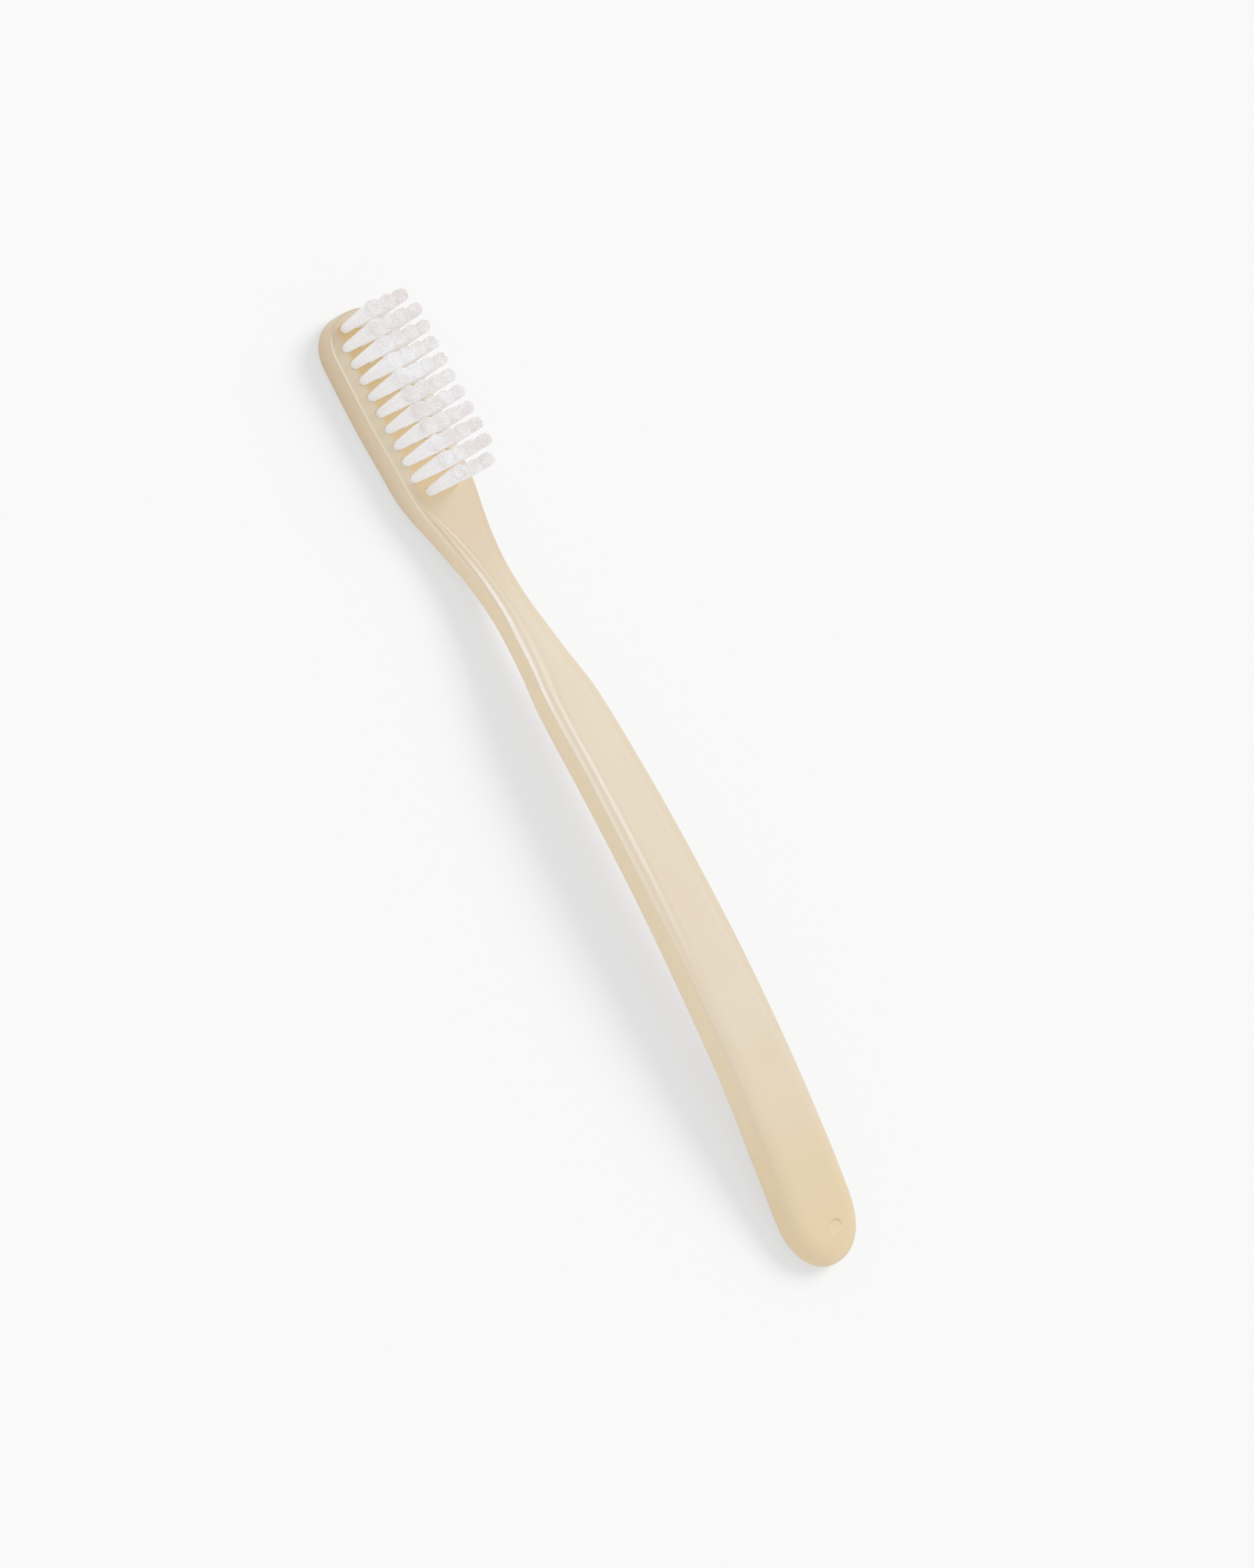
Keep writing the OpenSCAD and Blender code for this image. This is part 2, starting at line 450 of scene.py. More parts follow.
@dataclass(frozen=True)
class IvoryPlastic:
    """Glossy ivory plastic.

    It is deeper in tone on the flanks, most of all low down near the toe. The flanks' warmer tone
    is painted light, for light through the plastic, and their darkening low down on the head is
    painted shade. Among the tufts the head's face carries a painted amber glow, its rim a painted
    highlight, and the moulding mark's toeward rim painted shade. The spans are of X or of Z, but
    the amber's are counted from the tufts' edges and the face, and the mark's from its centre.
    """

    light: Color = (0.765, 0.66, 0.505)
    deep: Color = (0.745, 0.63, 0.465)
    end: Color = (0.77, 0.615, 0.39)
    # Flank tones: on the grip the warmer tone is painted light, for light through the plastic
    flank: Color = (0.815, 0.68, 0.48)
    end_flank: Color = (0.765, 0.61, 0.385)
    facet: Color = (0.7, 0.565, 0.39)
    head: Color = (0.75, 0.635, 0.465)
    head_flank: Color = (0.76, 0.63, 0.455)
    # The head's low tone is painted shade low down on the flank, and also darkens the flank toward
    # the toe
    head_low: Color = (0.65, 0.5, 0.33)
    # Painted highlight: the head's rim is paler along its edge, more so toward the toe
    painted_rim_highlight: Color = (0.98, 0.87, 0.73)
    head_toe: Color = (0.65, 0.535, 0.385)
    # The amber tones are painted: among the tufts they stand for the warm glow of light through the
    # plastic, deeper toward the toe, and on the moulding mark's rim for shade
    painted_amber: Color = (0.78, 0.585, 0.34)
    painted_toe_amber: Color = (0.68, 0.485, 0.235)
    end_span: Span = (-45 * MM, -88 * MM)
    facet_span: Span = (22 * MM, 52 * MM)
    face_span: Span = (56 * MM, 59 * MM)
    toe_face_span: Span = (80 * MM, 85 * MM)
    head_span: Span = (30 * MM, 56 * MM)
    toe_span: Span = (56 * MM, 86 * MM)
    low_shade_span: Span = (4.2 * MM, 0.8 * MM)
    low_shade_share: float = 0.55
    toe_share: float = 0.45
    rim_highlight_span: Span = (85.8 * MM, 83.8 * MM)
    rim_highlight_share: float = 0.55
    rim_highlight_toe_share: float = 0.4
    amber_back: Span = (-1.2 * MM, 0.5 * MM)
    amber_front: Span = (0.8 * MM, -0.8 * MM)
    amber_rise: Span = (-0.3 * MM, -0.05 * MM)
    amber_side: Span = (-0.2 * MM, -1.5 * MM)
    # Spans of the painted shade on the moulding mark's rim
    mark_inner: Span = (1 * MM, 1.35 * MM)
    mark_outer: Span = (1.75 * MM, 1.5 * MM)
    mark_toeward: Span = (0.2 * MM, 1.4 * MM)
    mark_shade_share: float = 0.6
    drift: Drift = Drift(45.0, 0.1)
    grain: Grain = Grain(700.0, 0.08, 0.02, 0.05 * MM)
    roughness: float = 0.2
    refraction: float = 1.47
    attribute: str = "flank"

    def material(self, effects: Effects, tufts: "TuftField") -> Material:
        """Makes the material.

        Args:
            effects: shared node groups.
            tufts: the tufts, between which the painted amber glow lies.

        Returns:
            The material.
        """
        material, nodes, place = new_material("ivory_plastic")
        x, y, z = nodes.add("ShaderNodeSeparateXYZ", {0: place}).outputs
        on_end, on_head = nodes.step(x, self.end_span), nodes.step(x, self.head_span)
        near_toe = nodes.step(x, self.toe_span)
        tone = nodes.mix(effects.mask(nodes, place, self.drift), self.deep, self.light)
        tone = nodes.mix(on_end, tone, self.end)
        tone = nodes.mix(nodes.step(x, self.facet_span), tone, self.facet)
        tone = nodes.mix(nodes.step(x, self.face_span), tone, self.head)
        tone = nodes.mix(nodes.step(x, self.toe_face_span), tone, self.head_toe)
        # Painted shade: the head's flank is darker low down, and also darker toward the toe
        low_shade = nodes.product(nodes.step(z, self.low_shade_span), self.low_shade_share)
        deepness = nodes.math("MULTIPLY_ADD", near_toe, self.toe_share, low_shade)
        head_flank = nodes.mix(deepness, self.head_flank, self.head_low)
        # Painted light: surfaces that face sideways take the warmer flank tone, for light through
        # the plastic
        flank = nodes.mix(on_head, nodes.mix(on_end, self.flank, self.end_flank), head_flank)
        on_flank = nodes.add("ShaderNodeAttribute", attribute_name=self.attribute).outputs["Fac"]
        tone = nodes.mix(on_flank, tone, flank)
        # Painted highlight along the head's rim. Times 4, the product of the flank's share and the
        # rest peaks at 1 halfway between them
        off_flank = nodes.math("SUBTRACT", 1.0, on_flank)
        rim_highlight_strength = nodes.math("MULTIPLY_ADD", near_toe, self.rim_highlight_toe_share, self.rim_highlight_share)
        rim_highlight = nodes.product(on_flank, off_flank, 4.0, on_head)
        rim_highlight = nodes.product(rim_highlight, rim_highlight_strength, nodes.step(x, self.rim_highlight_span))
        tone = nodes.mix(rim_highlight, tone, self.painted_rim_highlight)
        low, high = tufts.field_box()
        # Painted glow: among the tufts the face takes the amber tones, for light through the
        # plastic
        painted_glow_among_tufts = nodes.product(
            nodes.step(x, self.amber_back, low[0]),
            nodes.step(x, self.amber_front, high[0]),
            nodes.step(z, self.amber_rise, tufts.face),
            nodes.step(nodes.math("ABSOLUTE", y), self.amber_side, high[1]),
        )
        tone = nodes.mix(painted_glow_among_tufts, tone, nodes.mix(near_toe, self.painted_amber, self.painted_toe_amber))
        # Painted shade on the moulding mark's rim, on its side toward the toe, in the amber tone
        tone = nodes.mix(self.painted_mark_shade(nodes, x, y), tone, self.painted_amber)
        effects.finish(nodes, place, tone, self, IOR=self.refraction)
        return material

    def painted_mark_shade(self, nodes: Nodes, x: Socket, y: Socket) -> Socket:
        """A mask of painted shade on the moulding mark's rim, on its side toward the toe.

        Args:
            nodes: the material's nodes.
            x: X of the point.
            y: Y of the point.

        Returns:
            The mask.
        """
        along = nodes.math("SUBTRACT", x, MARK[0])
        across = nodes.math("SUBTRACT", y, MARK[1])
        squares = nodes.math("MULTIPLY_ADD", along, along, nodes.math("POWER", across, 2.0))
        out = nodes.math("SQRT", squares)
        ring = nodes.product(nodes.step(out, self.mark_inner), nodes.step(out, self.mark_outer))
        return nodes.product(ring, nodes.step(along, self.mark_toeward), self.mark_shade_share)


@dataclass(frozen=True)
class NylonStrands:
    """Milky white nylon, with a little difference from strand to strand."""

    white: Color = (0.985, 0.975, 0.99)
    shade: Color = (0.955, 0.945, 0.955)
    tip: Color = (0.86, 0.8, 0.785)
    tip_share: float = 0.35
    drift: Drift = Drift(160.0, 1.0)
    grain: Grain = Grain(4000.0, 0.1, 0.1, 0.01 * MM)
    roughness: float = 0.45
    refraction: float = 1.53
    attribute: str = "strand_tone"

    def material(self, effects: Effects, tufts: "TuftField") -> Material:
        """Makes the material.

        Args:
            effects: shared node groups.
            tufts: the tufts, whose heights place the tips' tone.

        Returns:
            The material.
        """
        material, nodes, place = new_material("nylon_strands")
        strand = nodes.add("ShaderNodeAttribute", attribute_name=self.attribute)
        z = nodes.add("ShaderNodeSeparateXYZ", {0: place}).outputs[2]
        tone = nodes.mix(strand.outputs["Fac"], self.white, self.shade)
        near_tip = nodes.step(z, (-self.tip_share * tufts.height, 0.0), tufts.face + tufts.height)
        tip_share = nodes.product(near_tip, effects.mask(nodes, place, self.drift))
        tone = nodes.mix(tip_share, tone, self.tip)
        effects.finish(nodes, place, tone, self, IOR=self.refraction)
        return material


@dataclass(frozen=True)
class BrassPlate:
    """Rolled brass with fine lines."""

    bright: Color = (0.8, 0.64, 0.32)
    dull: Color = (0.62, 0.47, 0.22)
    drift: Drift = Drift(900.0, 8.0)
    grain: Grain = Grain(6000.0, 0.2, 0.2, 0.01 * MM)
    roughness: float = 0.35

    def material(self, effects: Effects) -> Material:
        """Makes the material.

        Args:
            effects: shared node groups.

        Returns:
            The material.
        """
        material, nodes, place = new_material("rolled_brass")
        tone = nodes.mix(effects.mask(nodes, place, self.drift), self.bright, self.dull)
        effects.finish(nodes, place, tone, self, Metallic=1.0)
        return material


Finish = IvoryPlastic | NylonStrands | BrassPlate


# Sub-assemblies


@dataclass(frozen=True)
class Ribs:
    """Lines from the middle of the body to its rim, seen from above.

    A rib starts on the middle line at start, points along and across, and is reach long.
    """

    start: Array
    along: Array
    across: Array
    reach: Array


@dataclass
class TuftField:
    """Tufts of nylon strands that stand in the head's face.

    They stand in columns from the toe. The first and the last column have a row less.
    """

    length: float = 176 * MM
    face: float = 5 * MM
    toe_gap: float = 2.9 * MM
    column_pitch: float = 3 * MM
    row_pitch: float = 3 * MM
    columns: int = 11
    rows: int = 4
    end_rows: int = 3
    root_width: float = 1.6 * MM
    tip_width: float = 2.75 * MM
    tip_spread: float = 0.35 * MM
    tip_depth: float = 3.0 * MM
    tip_power: float = 2.5
    toe_lean: float = -0.16 * MM
    near_lean: float = 0.35 * MM
    near_bow: float = 0.45 * MM
    bow_middle: float = 0.4
    height: float = 11 * MM
    hole_depth: float = 3.3 * MM
    hole_gap: float = 0.03 * MM
    strands: int = 110
    strand_width: float = 0.2 * MM
    strand_sides: int = 6
    tip_round: float = 0.04 * MM
    tip_taper: float = 0.45
    ring_shares: tuple[float, ...] = (0.0, 0.35, 0.7, 1.0)
    uneven_length: float = 0.3 * MM
    uneven_place: float = 0.06 * MM
    tuft_lean: float = 0.06 * MM
    seed: int = 11

    def places(self) -> Array:
        """Root centres of the tufts, column by column from the toe, as rows of x and y."""
        found = []
        for column in range(self.columns):
            rows = self.end_rows if column in (0, self.columns - 1) else self.rows
            across = (np.arange(rows) - (rows - 1) / 2) * self.row_pitch
            x = self.length / 2 - self.toe_gap - column * self.column_pitch
            found.append(table_of(x, across))
        return np.concatenate(found)

    def field_box(self) -> tuple[Array, Array]:
        """Lowest and highest x and y of the tufts' edges on the face."""
        places = self.places()
        return places.min(0) - self.root_width / 2, places.max(0) + self.root_width / 2

    def strand_seeds(self) -> Array:
        """Even places in a disc of radius 1.

        Place i is at the square root of (i + 1/2) / count from the middle, and each turns by the
        golden angle from the one before.

        Returns:
            Rows of x and y.
        """
        i = np.arange(self.strands)
        out = np.sqrt((i + 0.5) / self.strands)
        turn = i * np.pi * (3 - math.sqrt(5))
        return table_of(out * np.cos(turn), out * np.sin(turn))

    def strand_paths(self, place: Array, rng: np.random.Generator) -> tuple[Array, Array]:
        """Middle lines of a tuft's strands, ring by ring, and their radius there.

        A strand stands straight in its hole. Above the face it leans outward in a straight line,
        plus a small bend that is widest half way up. The tips fill a square with rounded corners:
        a place of the round root moves out by (|cos| to the power p + |sin| to the power p) to
        the power -1 / p of its turn. The tips of the near rows spread wider than the far ones.
        The far rows lean toward the near ones, most of all before the middle of the field.

        Args:
            place: x and y of the tuft's root.
            rng: source of the small differences.

        Returns:
            Points by strand and ring, and the radius at each ring.
        """
        radius = self.strand_width / 2
        turn = rng.uniform(0, 2 * np.pi)
        cos, sin = math.cos(turn), math.sin(turn)
        seeds = self.strand_seeds() @ np.array([[cos, sin], [-sin, cos]])
        root = seeds * (self.root_width / 2 - radius)
        turns = np.abs(seeds) / np.linalg.norm(seeds, axis=1, keepdims=True)
        square = (turns**self.tip_power).sum(1, keepdims=True) ** (-1 / self.tip_power)
        near = place[1] / ((self.rows - 1) / 2 * self.row_pitch)
        size = np.array([self.tip_width + self.tip_spread * near, self.tip_depth])
        tip = seeds * square * (size / 2 - radius - self.uneven_place)
        away = (self.length / 2 - self.toe_gap - place[0]) / (self.columns - 1) / self.column_pitch
        bend_share = max(0.0, 1 - (2 * (away - self.bow_middle)) ** 2)
        bow = self.near_lean + self.near_bow * bend_share
        lean = rng.normal(0, self.tuft_lean, 2)
        lean += np.array([self.toe_lean * (1 + near), bow * (1 - near)]) / 2
        tip = tip + rng.uniform(-1, 1, (self.strands, 2)) * self.uneven_place + lean
        swerve = rng.normal(0, self.uneven_place, (self.strands, 2))
        cut = self.height - rng.uniform(0, self.uneven_length) / 2
        tops = cut - rng.uniform(0, self.uneven_length, self.strands) / 2
        bottoms = np.full(self.strands, self.hole_gap - self.hole_depth)
        rings = np.array(self.ring_shares) * (tops - self.tip_round)[:, None]
        heights = np.column_stack([bottoms, rings, tops])
        share = np.clip(heights / self.height, 0, None)[..., None]
        flat = root[:, None] + (tip - root)[:, None] * share
        flat = flat + swerve[:, None] * (share - share**2) * 2
        points = np.concatenate([flat + place, self.face + heights[..., None]], axis=-1)
        radii = np.full(heights.shape[1], radius)
        radii[-1] *= self.tip_taper
        return points, radii

    def tuft(self, number: int, place: Array) -> Piece:
        """Makes a tuft that stands for its CAD node.

        Each ring of a strand is a level polygon round the strand's middle line.

        Args:
            number: the tuft's number, from 1.
            place: x and y of its root.

        Returns:
            The tuft.
        """
        rng = np.random.default_rng([self.seed, number])
        paths, radii = self.strand_paths(place, rng)
        points = paths[:, :, None] + radii[:, None, None] * level_ring(self.strand_sides)
        faces = tube_faces(self.strands, len(radii), self.strand_sides)
        made = make_object(f"bristles_{number}", points.reshape(-1, 3), faces)
        tones = np.repeat(rng.uniform(0, 1, self.strands), len(radii) * self.strand_sides)
        attribute = made.data.attributes.new(NylonStrands.attribute, "FLOAT", "POINT")
        attribute.data.foreach_set("value", tones.astype(np.float32))
        return made

    def build(self, material: Material) -> list[Piece]:
        """Makes and dresses all the tufts.

        Thin nylon lets light through, so the tufts neither block nor give off bounced soft light.

        Args:
            material: their finish.

        Returns:
            The tufts.
        """
        made = []
        for number, place in enumerate(self.places(), 1):
            tuft = self.tuft(number, place)
            tuft.data.materials.append(material)
            tuft.visible_diffuse = False
            settle(tuft, Slot.BRISTLE, f"tuft_{number}")
            made.append(tuft)
        return made


@dataclass
class Handle:
    """The moulded body: head, neck and grip in one piece.

    Shares are given at stations along the brush, with smooth curves between them, as in the CAD
    source.
    """

    length: float = 176 * MM
    arch: float = 5.3 * MM
    head_length: float = 33 * MM
    head_width: float = 15.1 * MM
    head_thickness: float = 5 * MM
    toe: float = 7.5 * MM
    neck_width: float = 6.9 * MM
    grip_width: float = 15.1 * MM
    grip_thickness: float = 6.6 * MM
    end: float = 10 * MM
    toe_power: float = 2.2
    end_power: float = 2.1
    mark_width: float = 2.9 * MM
    mark_depth: float = 0.1 * MM
    mark_round: float = 0.2 * MM
    mark_levels: int = 6
    mark_sides: int = 64
    cutter_rise: float = 0.5 * MM
    hole_lip: float = 0.02 * MM
    hole_sides: int = 32
    edge_limit: float = 0.9
    flank_start: float = 0.85
    flank_full: float = 0.3
    sharp_angle: float = 30.0
    end_ribs: int = 44
    side_ribs: int = 520
    edge_levels: int = 13
    side_levels: int = 34
    under_levels: int = 10
    cap_columns: int = 8

    def along(self, head: list[float], handle: list[float]) -> Array:
        """Places for shares of the head's length and of the length behind it."""
        behind = self.head_length + np.array(handle) * (self.length - self.head_length)
        return np.concatenate([np.array(head) * self.head_length, behind])

    def stations(self) -> Array:
        """Places at which widths and heights are given."""
        behind = [0.015, 0.045, 0.08, 0.115, 0.165, 0.225, 0.285]
        behind += [0.385, 0.51, 0.63, 0.755, 0.875, 0.94, 1]
        return self.along([0.2, 0.55, 0.8, 0.96], behind)

    def half_width(self, place: Array) -> Array:
        """Half the width at places along the brush."""
        head = np.array([0.99, 1, 0.955, 0.925, 0.87, 0.745]) * self.head_width
        neck = np.array([1.33, 1.08, 0.985, 1.18]) * self.neck_width
        grip = np.array([0.7, 0.76, 0.81, 0.87, 0.915, 0.985, 1, 0.985]) * self.grip_width
        return smooth_through(self.stations(), np.concatenate([head, neck, grip]) / 2, place)

    def thickness(self, place: Array) -> Array:
        """Thickness of the body at places along the brush."""
        head = np.array([1, 1, 1, 1, 1, 1, 1.02, 1.04, 1.1]) * self.head_thickness
        grip = np.array([0.895, 0.94, 0.985, 1, 1, 1, 0.95, 0.86, 0.74]) * self.grip_thickness
        return smooth_through(self.stations(), np.concatenate([head, grip]), place)

    def rise(self, place: Array) -> Array:
        """Height of the underside at places along the brush."""
        shares = [0, 0, 0, 0, 0.05, 0.14, 0.235, 0.36, 0.53]
        shares += [0.685, 0.8, 0.935, 1, 0.93, 0.69, 0.26, 0.03, 0]
        return smooth_through(self.stations(), np.array(shares) * self.arch, place)

    def section_share(self, shares: list[float], place: Array) -> Array:
        """A share of the cross-section, given at its own stations, at places along the brush."""
        stations = self.along([0, 0.9], [0.015, 0.08, 0.165, 0.245, 0.29, 0.485, 0.925, 1])
        return smooth_through(stations, np.array(shares), place)

    def fan(self, start: float, reach: float, power: float, angles: Array) -> Array:
        """Ribs of a rounded end.

        The rim is reach times the cosine to the power 2 / power along the brush, and the half
        width at start times the sine to the same power across it.

        Args:
            start: place that the ribs start from.
            reach: distance from there to the end, below 0 toward the toe.
            power: power of the outline, where 2 is an ellipse.
            angles: one angle for each rib.

        Returns:
            The start, along, across and reach of each rib.
        """
        along = reach * np.clip(np.cos(angles), 0, 1) ** (2 / power)
        across = self.half_width(np.array(start)) * np.clip(np.sin(angles), 0, 1) ** (2 / power)
        long = np.hypot(along, across)
        return table_of(start, along / long, across / long, long)

    def ribs(self) -> Ribs:
        """Ribs of one half of the body, from the toe to the handle's end."""
        turn = np.linspace(0, np.pi / 2, self.end_ribs, endpoint=False)
        last = self.length - self.end
        places = np.linspace(self.toe, last, self.side_ribs)
        toe = self.fan(self.toe, -self.toe, self.toe_power, turn)
        side = table_of(places, 0.0, 1.0, self.half_width(places))
        end = self.fan(last, self.end, self.end_power, turn[::-1])
        return Ribs(*np.concatenate([toe, side, end]).T)

    def section(self, ribs: Ribs) -> Array:
        """Cross-section of one side at each rib.

        It leaves the flat top past the shoulder's crease, runs past the shoulder's corner down to
        the rim, and goes under the rim by a quarter of an ellipse.

        Args:
            ribs: the ribs.

        Returns:
            Distance in from the rim and height in thicknesses, by rib and level.
        """
        place = ribs.start + ribs.along * ribs.reach
        width, depth = self.half_width(place), self.thickness(place)
        flat, crease, under, shoulder, rim = (
            self.section_share(shares, place)
            for shares in (
                [0.1, 0.14, 0.22, 0.65, 0.88, 0.88, 0.57, 0.535, 0.47, 0.42],
                [0.05, 0.08, 0.12, 0.42, 0.48, 0.36, 0.28, 0.27, 0.37, 0.34],
                [0.2, 0.22, 0.3, 0.55, 0.8, 0.75, 0.75, 0.75, 0.7, 0.6],
                [0.6, 0.65, 0.75, 0.8, 0.84, 0.86, 0.87, 0.875, 0.85, 0.8],
                [0.28, 0.28, 0.33, 0.4, 0.45, 0.46, 0.46, 0.46, 0.42, 0.4],
            )
        )
        flat, crease, under = flat * width, crease * width, under * width
        top, fold = table_of(flat, 1.0), table_of(crease, 1.0)
        corner, waist = table_of(0.0, shoulder), table_of(0.0, rim)
        side_length = np.hypot(crease, (1 - shoulder) * depth)
        share = np.minimum(self.edge_limit, (flat - crease) / side_length)
        edge = fold + (corner - fold) * share[:, None]
        first = bend(top, fold, edge, np.linspace(0, 1, self.edge_levels, endpoint=False))
        second = bend(edge, corner, waist, np.linspace(0, 1, self.side_levels, endpoint=False))
        turn = np.linspace(0, np.pi / 2, self.under_levels)
        third = table_of(under[:, None] * (1 - np.cos(turn)), rim[:, None] * (1 - np.sin(turn)))
        return np.concatenate([first, second, third], axis=1)

    def cap(self, edge: Array, first: int, start: int, facing: Side) -> tuple[Array, list[Array]]:
        """Level rows of points across the body, between the two sides of a loop.

        Args:
            edge: the loop's points.
            first: number of the loop's first point.
            start: number that the cap's first new point gets.
            facing: which way the cap faces.

        Returns:
            The new points, and the faces.
        """
        last = len(edge) // 2
        rows = np.arange(1, last)
        near, far = edge[rows], edge[len(edge) - rows]
        share = np.arange(1, self.cap_columns)[None, :, None] / self.cap_columns
        inner = near[:, None] * (1 - share) + far[:, None] * share
        numbers = start + np.arange(inner[..., 0].size).reshape(inner.shape[:2])
        table = np.column_stack([first + rows, numbers, first + len(edge) - rows])
        quads = table.ravel()[grid_quads(*table.shape)]
        row, end = table[0], table[-1]
        tips = [table_of(first, row[1:], row[:-1]), table_of(end[:-1], end[1:], first + last)]
        faces = [quads, np.concatenate(tips)]
        if facing is Side.TOP:
            faces = [f[:, ::-1] for f in faces]
        return inner.reshape(-1, 3), faces

    def surface(self) -> tuple[Array, list[Array]]:
        """The closed surface of the body, before its holes.

        A point lies on its rib at the reach less the inset, at the underside's height plus the
        level's height times the thickness, both taken at the point's own place.

        Returns:
            The points, and the faces as arrays of point numbers.
        """
        ribs = self.ribs()
        section = self.section(ribs)
        out = ribs.reach[:, None] - section[..., 0]
        place = ribs.start[:, None] + ribs.along[:, None] * out
        height = self.rise(place) + section[..., 1] * self.thickness(place)
        near = table_of(self.length / 2 - place, ribs.across[:, None] * out, height)
        far = near[-2:0:-1] * [1, -1, 1]
        loops = np.concatenate([near, far]).transpose(1, 0, 2)
        levels, count = loops.shape[:2]
        walls = grid_quads(levels, count, closed=True)
        total = levels * count
        top, top_faces = self.cap(loops[0], 0, total, Side.TOP)
        under, under_faces = self.cap(loops[-1], total - count, total + len(top), Side.UNDER)
        points = np.concatenate([loops.reshape(-1, 3), top, under])
        quads = np.concatenate([walls[:, ::-1], top_faces[0], under_faces[0]])
        return points, [quads, np.concatenate([top_faces[1], under_faces[1]])]

    def cutters(self, tufts: TuftField) -> Piece:
        """Solids to cut: a hole for each tuft, with a small lip, and the moulding mark.

        Args:
            tufts: the tufts that the holes take.

        Returns:
            The cutters as one object.
        """
        radius = tufts.root_width / 2 + tufts.hole_gap
        lip = self.hole_lip
        rise = np.array([-1, -0.3, 0, 1]) * lip
        hole = table_of(radius + np.array([0, 0, 0.3, 1, 2]) * lip, [-tufts.hole_depth, *rise])
        points, faces = lathe(hole, table_of(*tufts.places().T, tufts.face), self.hole_sides)
        place = np.array(self.length / 2 - MARK[0])
        top = float(self.rise(place) + self.thickness(place))
        turn = np.linspace(0, np.pi / 2, self.mark_levels)
        out = self.mark_width / 2 - self.mark_round * (1 - np.sin(turn))
        dish = table_of(out, -self.mark_depth * np.cos(turn))
        dish = np.concatenate([dish, [[self.mark_width / 2, self.cutter_rise]]])
        mark_points, mark_faces = lathe(dish, np.array([[*MARK, top]]), self.mark_sides)
        faces += [f + len(points) for f in mark_faces]
        return make_object("cutters", np.concatenate([points, mark_points]), faces)

    def build(self, tufts: TuftField, material: Material) -> Piece:
        """Makes and dresses the handle.

        Its flank attribute is a soft step from 0, where the height of the surface's normal is
        flank_start or more, to 1, where it is flank_full or less.

        Args:
            tufts: the tufts that its holes take.
            material: its finish.

        Returns:
            The handle.
        """
        made = make_object("handle_body", *self.surface())
        cutters = self.cutters(tufts)
        cut = made.modifiers.new("holes", "BOOLEAN")
        cut.operation = "DIFFERENCE"
        cut.solver = "MANIFOLD"
        cut.object = cutters
        graph = bpy.context.evaluated_depsgraph_get()
        whole = bpy.data.meshes.new_from_object(made.evaluated_get(graph))
        made.modifiers.clear()
        made.data = whole
        bpy.data.objects.remove(cutters)
        whole.polygons.foreach_set("use_smooth", np.ones(len(whole.polygons), bool))
        whole.set_sharp_from_angle(angle=math.radians(self.sharp_angle))
        whole.materials.clear()
        whole.materials.append(material)
        normals = np.empty(len(whole.vertices) * 3, np.float32)
        whole.vertex_normals.foreach_get("vector", normals)
        fall = self.flank_start - self.flank_full
        slope = np.clip((self.flank_start - normals[2::3]) / fall, 0, 1)
        flank = whole.attributes.new(IvoryPlastic.attribute, "FLOAT", "POINT")
        flank.data.foreach_set("value", slope * slope * (3 - 2 * slope))
        settle(made, Slot.HANDLE, "handle")
        return made


def settle(piece: Piece, slot: Slot, *nodes: str) -> None:
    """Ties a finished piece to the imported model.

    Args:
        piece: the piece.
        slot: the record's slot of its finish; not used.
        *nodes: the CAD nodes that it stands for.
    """
    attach(piece, BODY)
    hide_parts(*nodes)


def dress_anchors(material: Material) -> Piece:
    """Gives the CAD node of the anchor plates its finish.

    Args:
        material: the finish.

    Returns:
        The node's object.
    """
    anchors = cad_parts["anchors"]
    for slot in anchors.material_slots:
        slot.material = material
    return anchors


# Studio


def direction(elevation: float, azimuth: float) -> Array:
    """Unit vector to a place, by its degrees above the floor and round from -Y toward +X."""
    high, turn = math.radians(elevation), math.radians(azimuth)
    level = math.cos(high)
    return np.array([level * math.sin(turn), -level * math.cos(turn), math.sin(high)])


def level_right(back: Array) -> Array:
    """Level unit vector to the right of what looks along the opposite of back."""
    right = np.cross([0, 0, 1], back)
    return right / np.linalg.norm(right)


def pose(right: Array, back: Array, place: Array) -> Matrix:
    """A pose from unit vectors to the right and to the back, and a place."""
    table = np.eye(4)
    table[:3] = table_of(right, np.cross(back, right), back, place)
    return Matrix(table.tolist())


@dataclass
class Panel:
    """A soft lamp that only shows as a highlight on glossy surfaces."""

    name: str
    place: tuple[float, float, float]
    length: float
    width: float
    glow: float
    tone: Color = (0.72, 0.92, 1.3)

    def build(self) -> None:
        """Makes the lamp, which lies along X and faces the X axis.

        Its power is pi times its area times its glow, where a glow of 1 looks white.
        """
        data = bpy.data.lights.new(self.name, "AREA")
        data.shape = "RECTANGLE"
        data.size, data.size_y = self.length, self.width
        data.energy = math.pi * self.length * self.width * self.glow
        data.color = self.tone
        lamp = add_object(self.name, data)
        back = np.array([0.0, *self.place[1:]])
        lamp.matrix_world = pose([1, 0, 0], back / np.linalg.norm(back), self.place)
        lamp.visible_diffuse = False


@dataclass(frozen=True)
class Sun:
    """A soft distant lamp."""

    name: str
    strength: float
    elevation: float
    azimuth: float
    softness: float
    tone: Color = (1.0, 1.0, 1.0)

    def on_floor(self) -> Array:
        """How much light it puts on a level surface, where 1 makes white look white."""
        high = math.sin(math.radians(self.elevation))
        return self.strength * high / math.pi * np.array(self.tone)

    def build(self) -> Piece:
        """Makes the lamp, which shows in no reflection."""
        data = bpy.data.lights.new(self.name, "SUN")
        data.energy, data.color = self.strength, self.tone
        data.angle = math.radians(self.softness)
        lamp = add_object(self.name, data)
        back = direction(self.elevation, self.azimuth)
        lamp.matrix_world = pose(level_right(back), back, back)
        lamp.visible_glossy = False
        return lamp


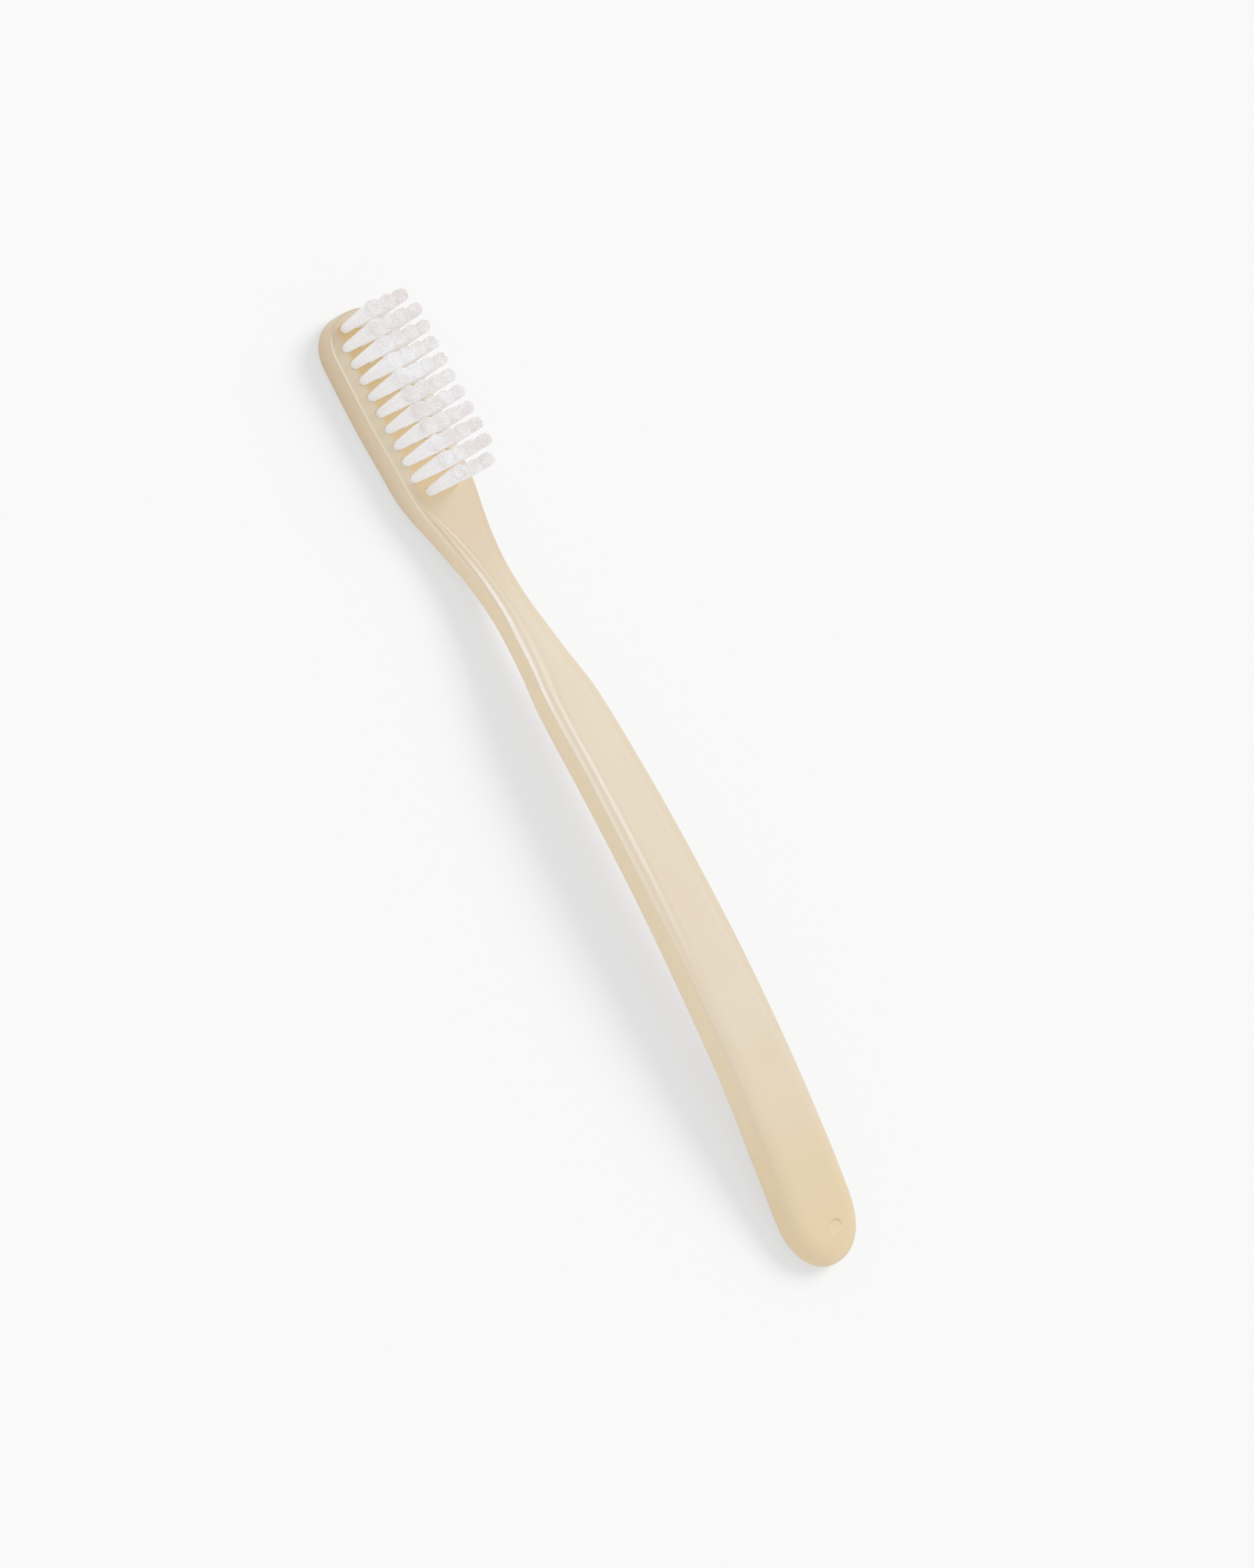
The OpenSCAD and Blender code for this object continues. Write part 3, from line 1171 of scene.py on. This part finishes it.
@dataclass
class Studio:
    """A pale floor, soft light all round, a soft key from behind, and panels that only shine.

    A second, low lamp behind the brush lights only the floor, and only the handle shades it.
    """

    paper: float = 0.93
    lit_share: float = 0.18
    backdrop: float = 0.947
    ambient: float = 0.87
    key: Sun = Sun("key", 0.63, 48.0, 8.0, 26.0)
    low: Sun = Sun("low", 4.4, 43.0, 8.0, 36.0, (1.0, 0.98, 0.95))
    floor_size: float = 6.0
    lens: float = 100.0
    film: float = 36.0
    target: tuple[float, float, float] = (-2.16 * MM, -4.35 * MM, 6 * MM)
    distance: float = 715.8 * MM
    elevation: float = 54.0
    azimuth: float = 179.54
    roll: float = 62.77
    diffuse_bounces: int = 24
    all_bounces: int = 28

    def seen(self, nodes: Nodes) -> Socket:
        """A mask that is 1 for the camera and for reflections, and 0 for other light."""
        path = nodes.add("ShaderNodeLightPath").outputs
        seen = nodes.math("MAXIMUM", path["Is Camera Ray"], path["Is Glossy Ray"])
        return nodes.math("MAXIMUM", seen, path["Is Transmission Ray"])

    def floor(self) -> Piece:
        """A level square of matt paper under the brush.

        To the camera and in reflections, only a share of its look is the light that falls on it,
        and the rest is its own pale colour, so that the shadow of the brush stays light there.
        """
        corners = np.array([[-1, -1, 0], [1, -1, 0], [1, 1, 0], [-1, 1, 0]]) * self.floor_size / 2
        made = make_object("floor", corners, [np.arange(4)[None]])
        material, nodes, _ = new_material("matt_paper")
        lit = self.paper * self.lit_share
        light = self.ambient + self.key.on_floor() + self.low.on_floor()
        own = tuple((self.backdrop - lit * light).tolist())
        seen = self.seen(nodes)
        inputs = {"Base Color": nodes.mix(seen, (self.paper,) * 3, (lit,) * 3), "Roughness": 1.0}
        inputs |= {"Emission Color": rgba(own), "Emission Strength": seen}
        end_material(nodes, inputs | {"Specular IOR Level": 0.0})
        made.data.materials.append(material)
        return made

    def world(self) -> None:
        """Even light from all round. Where the camera or a reflection sees it, it is pale."""
        world = bpy.data.worlds.new("studio")
        bpy.context.scene.world = world
        world.use_nodes = True
        nodes = Nodes(world.node_tree)
        more = self.backdrop - self.ambient
        strength = nodes.math("MULTIPLY_ADD", self.seen(nodes), more, self.ambient)
        inputs = {"Color": (1.0, 1.0, 1.0, 1.0), "Strength": strength}
        shade = nodes.add("ShaderNodeBackground", inputs)
        nodes.add("ShaderNodeOutputWorld", {"Surface": shade.outputs[0]})

    def lamps(self) -> None:
        """The key, the strips that draw two lines along the body, and a soft box behind it."""
        self.key.build()
        for name, x, y, length, width, glow in (
            ("far", 0.105, -0.25, 0.27, 0.18, 6.0),
            ("far_neck", 0.3, -0.25, 0.12, 0.18, 4.5),
            ("far_toe", 0.42, -0.25, 0.12, 0.18, 1.2),
            ("far_end", -0.065, -0.25, 0.07, 0.18, 3.0),
            ("far_tail", -0.135, -0.25, 0.07, 0.18, 1.3),
            ("near", 0.41, 0.24, 0.1, 0.28, 10.5),
            ("near_neck", 0.3, 0.24, 0.12, 0.28, 5.6),
            ("near_end", 0.095, 0.24, 0.29, 0.24, 3.1),
            ("near_tail", -0.1, 0.24, 0.11, 0.24, 1.1),
        ):
            Panel(f"strip_{name}", (x, y, 1.0), length, width, glow).build()
        Panel("softbox", (0.1, -0.72, 0.75), 0.7, 0.45, 1.0).build()

    def shadow(self, floor: Piece, handle: Piece) -> None:
        """The low lamp, which throws the handle's shadow on the floor."""
        lamp = self.low.build()
        lamp.data.cycles.max_bounces = 0
        for role, piece in (("receiver", floor), ("blocker", handle)):
            linked = bpy.data.collections.new(f"low_{role}")
            linked.objects.link(piece)
            setattr(lamp.light_linking, f"{role}_collection", linked)

    def camera(self) -> None:
        """The camera at the photograph's angle, turned about its line of sight by the roll."""
        back, roll = direction(self.elevation, self.azimuth), math.radians(self.roll)
        level = level_right(back)
        right = level * math.cos(roll) + np.cross(back, level) * math.sin(roll)
        data = bpy.data.cameras.new("camera")
        data.lens, data.sensor_width = self.lens, self.film
        camera = add_object("camera", data)
        camera.matrix_world = pose(right, back, self.target + back * self.distance)
        bpy.context.scene.camera = camera

    def build(self, handle: Piece) -> None:
        """Makes the studio. Light bounces often, as the strands are white and close."""
        self.shadow(self.floor(), handle)
        self.world()
        self.lamps()
        self.camera()
        scene = bpy.context.scene
        scene.view_settings.view_transform = "Standard"
        scene.cycles.diffuse_bounces = self.diffuse_bounces
        scene.cycles.max_bounces = self.all_bounces


def main() -> None:
    """Builds the brush and the studio, and reports each piece."""
    logging.basicConfig(level=logging.INFO, format="%(name)s: %(message)s")
    effects = Effects(tone_group(), grain_group())
    tufts = TuftField()
    pieces = [Handle().build(tufts, IvoryPlastic().material(effects, tufts))]
    pieces += tufts.build(NylonStrands().material(effects, tufts))
    pieces.append(dress_anchors(BrassPlate().material(effects)))
    Studio().build(pieces[0])
    for piece in pieces:
        log.info("%s: %d faces", piece.name, len(piece.data.polygons))


if __name__ == "__main__":
    main()
